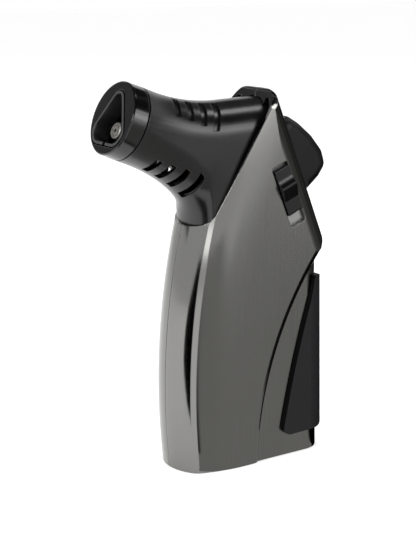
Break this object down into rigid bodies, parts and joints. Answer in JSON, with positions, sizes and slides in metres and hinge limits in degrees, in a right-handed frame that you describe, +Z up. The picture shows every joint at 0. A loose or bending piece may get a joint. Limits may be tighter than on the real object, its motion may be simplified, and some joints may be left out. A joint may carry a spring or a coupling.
{
  "type": "butane torch",
  "caption": "Hand-held butane torch: gunmetal body on a flat base, flared vented head, thumb button, lock slider, rubber grip, and its fuel and spark parts inside.",
  "frame": {"origin": "centre of the flat bottom face of the base, between its front and rear ends", "axes": "+Z up, -Y toward the nozzle, +X toward the left side that has the lock slider"},
  "size_m": [0.0335, 0.0948, 0.145],
  "materials": {
    "gunmetal": "brushed dark gunmetal plating",
    "rubber_black": "matte",
    "plastic_black": "satin moulded",
    "steel_dark": "heat darkened",
    "nickel": "nickel plated",
    "steel": "plain",
    "brass": "turned",
    "ceramic_white": "fired ceramic",
    "silicone_clear": "translucent",
    "wire_red": "insulated wire",
    "plastic_ivory": "moulded",
    "plastic_clear": "moulded nylon"
  },
  "bodies": {
    "housing": {"left_shell": "gunmetal", "right_shell": "gunmetal", "rear_cover": "gunmetal", "grip_pad": "rubber_black", "base_plate": "plastic_black", "frame_left": "plastic_black", "frame_right": "plastic_black", "head_barrel": "plastic_black", "nozzle_ring": "plastic_black", "flame_guard": "steel_dark", "burner_plate": "steel_dark", "burner_tip": "nickel", "mixing_tube": "brass", "gas_jet": "brass", "electrode": "steel", "electrode_insulator": "ceramic_white", "gas_hose": "silicone_clear", "ignition_wire": "wire_red", "piezo_case": "plastic_ivory", "lock_plate": "steel", "rocker_pin": "steel", "valve_body": "brass", "tank_body": "plastic_clear", "tank_lid": "plastic_clear", "tank_seal": "rubber_black", "riser_tube": "plastic_clear", "regulator_body": "brass", "filler_body": "brass", "base_screws": "steel", "frame_screws": "steel"},
    "button": {"thumb_button": "plastic_black", "piezo_plunger": "plastic_ivory"},
    "lock": {"lock_slider": "plastic_black", "slider_clip": "steel"},
    "rocker": {"valve_rocker": "steel"},
    "stem": {"valve_stem": "brass"},
    "dial": {"flame_dial": "plastic_black"},
    "filler": {"filler_stem": "steel"}
  },
  "joints": [
    {"name": "button_press", "type": "slide", "parent": "housing", "child": "button", "axis": [0, -0.5736, -0.8192], "range_m": [0, 0.005], "stiffness_N_per_m": 1500, "springref_m": -0.004},
    {"name": "lock_slide", "type": "slide", "parent": "housing", "child": "lock", "axis": [0, 0.3778, -0.9259], "range_m": [0, 0.0048]},
    {"name": "rocker_tilt", "type": "hinge", "parent": "housing", "child": "rocker", "pos_m": [0, -0.006, 0.078], "axis": [-1, 0, 0], "range_deg": [0, 13]},
    {"name": "stem_lift", "type": "slide", "parent": "housing", "child": "stem", "axis": [0, 0, 1], "range_m": [0, 0.0018]},
    {"name": "dial_turn", "type": "hinge", "parent": "housing", "child": "dial", "pos_m": [0, -0.012, 0.002], "axis": [0, 0, 1], "range_deg": [-135, 135]},
    {"name": "filler_push", "type": "slide", "parent": "housing", "child": "filler", "axis": [0, 0, 1], "range_m": [0, 0.001], "stiffness_N_per_m": 400, "springref_m": -0.002}
  ],
  "couplings": [
    {"joint": "rocker_tilt", "follows": "button_press", "rad_per_m": 44},
    {"joint": "stem_lift", "follows": "button_press", "ratio": 0.351}
  ]
}
